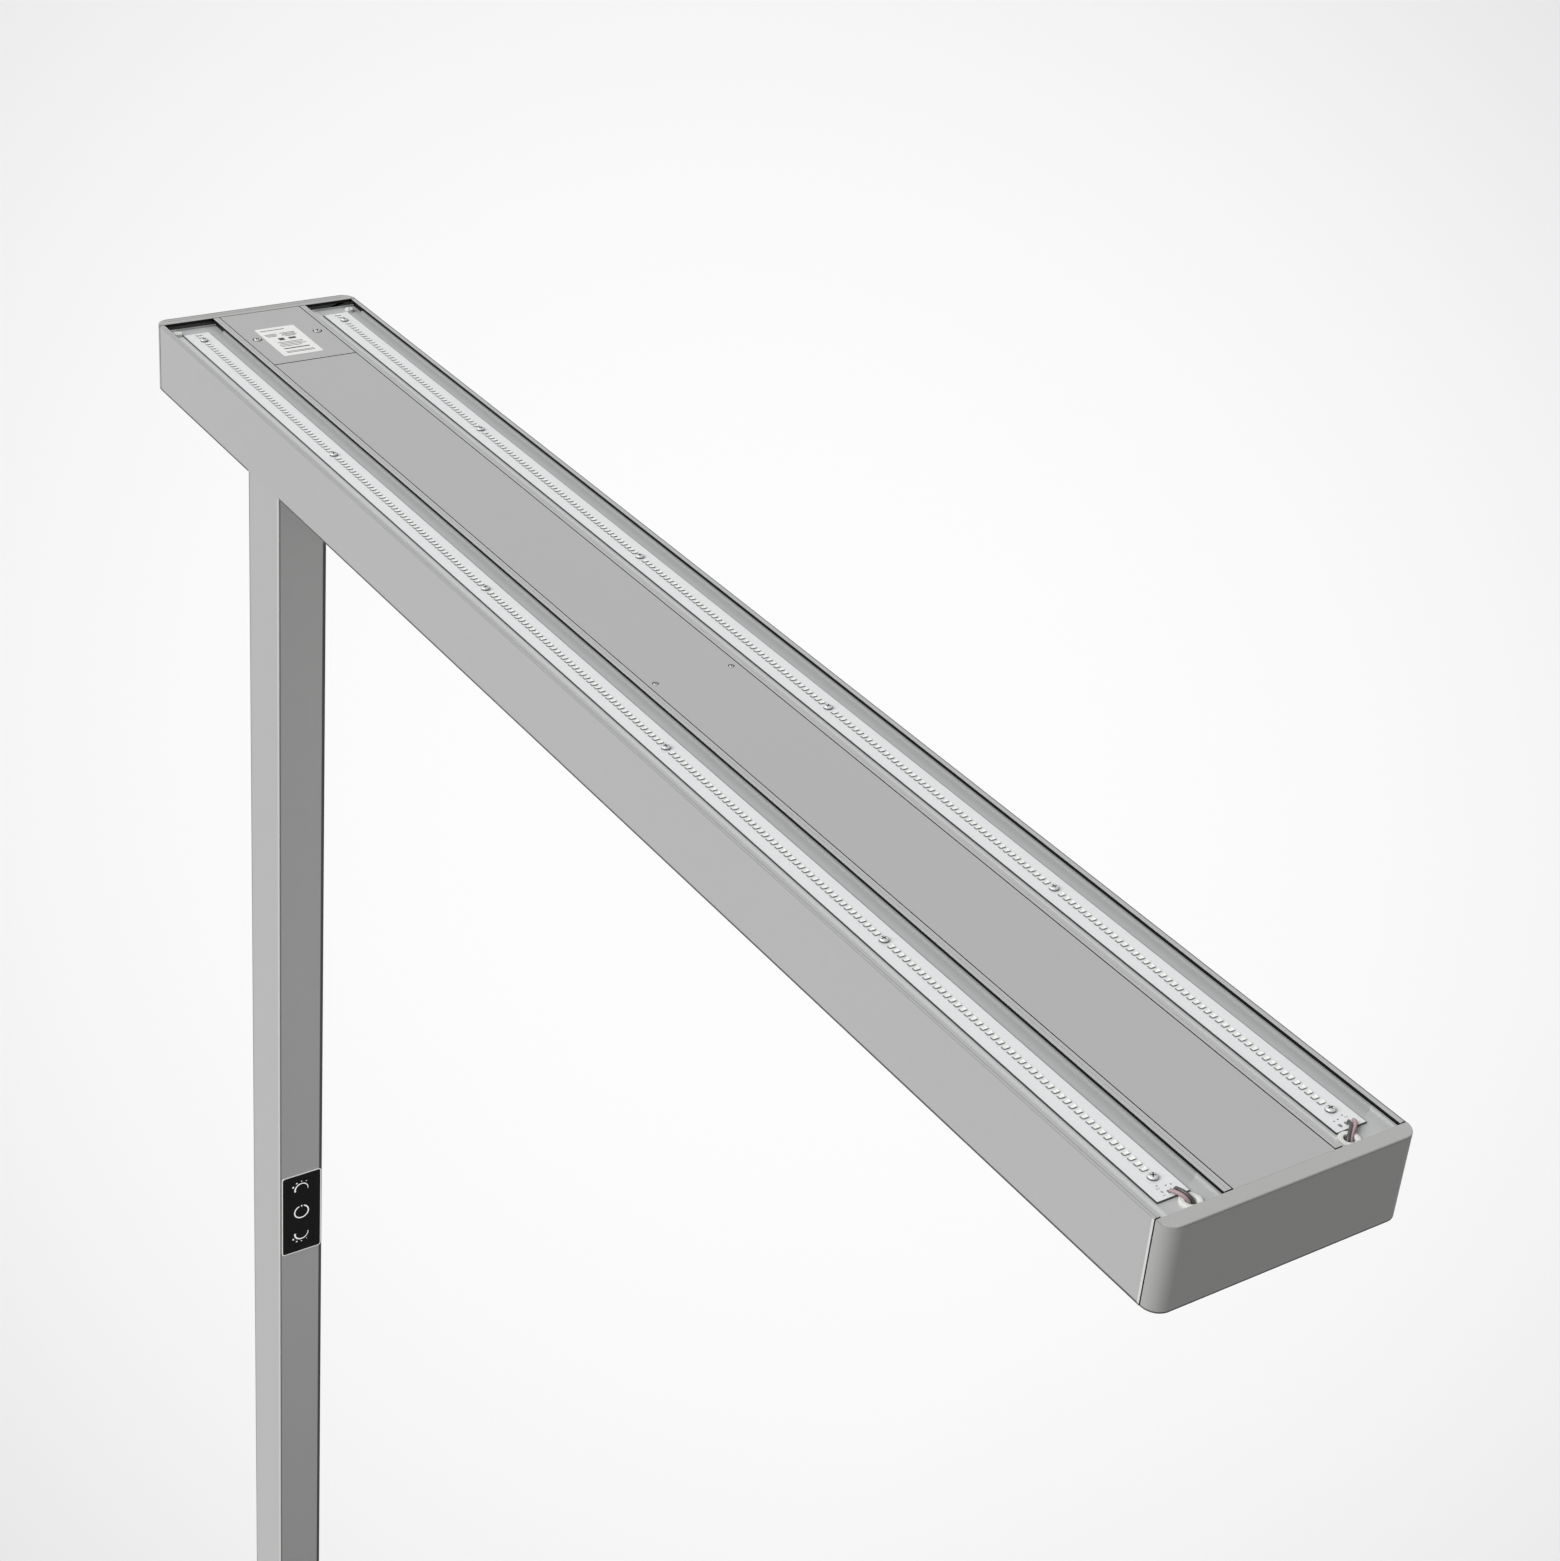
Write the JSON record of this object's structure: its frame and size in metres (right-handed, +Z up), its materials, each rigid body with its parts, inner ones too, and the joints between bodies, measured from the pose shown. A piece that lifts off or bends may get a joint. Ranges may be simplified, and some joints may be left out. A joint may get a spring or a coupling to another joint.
{
  "type": "office floor lamp",
  "caption": "Tall office floor lamp: a long shallow head with uplight troughs and an opal downlight, on a square column with a keypad and a flat base plate.",
  "frame": {"origin": "on the floor, directly under the axis of the column", "axes": "+Z up, +X along the head towards its long overhang, +Y across the head away from the column's side"},
  "size_m": [1.17, 0.3, 1.9506],
  "materials": {
    "painted_profile": "aluminium extrusion with a fine satin silver-grey powder coat",
    "painted_cap": "cast aluminium end caps in the same satin silver-grey coat",
    "painted_tray": "folded aluminium sheet, satin grey coat",
    "painted_cover": "flat aluminium sheet, satin silver-grey coat",
    "painted_column": "rectangular aluminium tube, satin silver-grey coat",
    "painted_base": "steel plate, satin silver-grey coat",
    "zinc_screw": "zinc-plated steel screws",
    "bright_screw": "bright nickel-plated steel screws",
    "white_nylon": "moulded white nylon",
    "board_white": "aluminium-core circuit board under white solder resist",
    "led_phosphor": "white diode packages with pale yellow phosphor",
    "lead_sleeve": "silicone lead sleeves, one of each pair pale pink and the other dark grey",
    "label_film": "white polyester film, plain",
    "galvanised_steel": "galvanised steel strip",
    "driver_case": "white moulded driver case",
    "terminal_plastic": "cream moulded terminal block",
    "supply_wire": "insulated mains wires",
    "opal_acrylic": "satin opal acrylic",
    "plain_steel": "machined steel",
    "black_bolt": "blackened steel bolts",
    "cable_sheath": "black cable sheath",
    "gland_plastic": "black moulded nylon",
    "keypad_gloss": "black gloss keypad with white symbols",
    "circuit_green": "green circuit board",
    "switch_plastic": "black moulded switch cases",
    "switch_plunger": "cream moulded plungers",
    "rubber_pad": "black non-slip rubber"
  },
  "bodies": {
    "lamp": {"head_profile": "painted_profile", "rear_end_cap": "painted_cap", "front_end_cap": "painted_cap", "end_cap_screws": "zinc_screw", "uplight_tray_near": "painted_tray", "uplight_tray_far": "painted_tray", "tray_studs": "white_nylon", "uplight_board_near": "board_white", "uplight_board_far": "board_white", "uplight_leds_near": "led_phosphor", "uplight_leds_far": "led_phosphor", "uplight_board_screws": "bright_screw", "lead_grommets": "white_nylon", "uplight_leads_near": "lead_sleeve", "uplight_leads_far": "lead_sleeve", "service_cover": "painted_cover", "service_cover_screws": "zinc_screw", "rating_label": "label_film", "centre_plate": "painted_cover", "centre_plate_screws": "zinc_screw", "cover_brackets": "galvanised_steel", "led_driver": "driver_case", "driver_screws": "zinc_screw", "terminal_block": "terminal_plastic", "terminal_screws": "zinc_screw", "driver_supply_wires": "supply_wire", "bottom_plate": "painted_cover", "diffuser": "opal_acrylic", "downlight_board_near": "board_white", "downlight_board_far": "board_white", "downlight_leds_near": "led_phosphor", "downlight_leds_far": "led_phosphor", "downlight_board_screws": "bright_screw", "downlight_leads": "lead_sleeve", "column_tube": "painted_column", "head_plug": "plain_steel", "head_bracket": "plain_steel", "head_bolts": "black_bolt", "bracket_screws": "zinc_screw", "foot_plug": "plain_steel", "base_bolts": "black_bolt", "plug_screws": "zinc_screw", "supply_cable": "cable_sheath", "keypad_cable": "cable_sheath", "gland_body": "gland_plastic", "gland_nut": "gland_plastic", "keypad_bezel": "keypad_gloss", "keypad_board": "circuit_green", "keypad_board_screws": "bright_screw", "tact_switches": "switch_plastic", "base_plate": "painted_base", "base_pad": "rubber_pad"},
    "brighter_key": {"key_brighter": "keypad_gloss", "plunger_brighter": "switch_plunger"},
    "power_key": {"key_power": "keypad_gloss", "plunger_power": "switch_plunger"},
    "dimmer_key": {"key_dimmer": "keypad_gloss", "plunger_dimmer": "switch_plunger"}
  },
  "joints": [
    {"name": "press_brighter", "type": "slide", "parent": "lamp", "child": "brighter_key", "axis": [-1, 0, 0], "range_m": [0, 0.0005], "stiffness_N_per_m": 500, "springref_m": -0.0006},
    {"name": "press_power", "type": "slide", "parent": "lamp", "child": "power_key", "axis": [-1, 0, 0], "range_m": [0, 0.0005], "stiffness_N_per_m": 500, "springref_m": -0.0006},
    {"name": "press_dimmer", "type": "slide", "parent": "lamp", "child": "dimmer_key", "axis": [-1, 0, 0], "range_m": [0, 0.0005], "stiffness_N_per_m": 500, "springref_m": -0.0006}
  ]
}
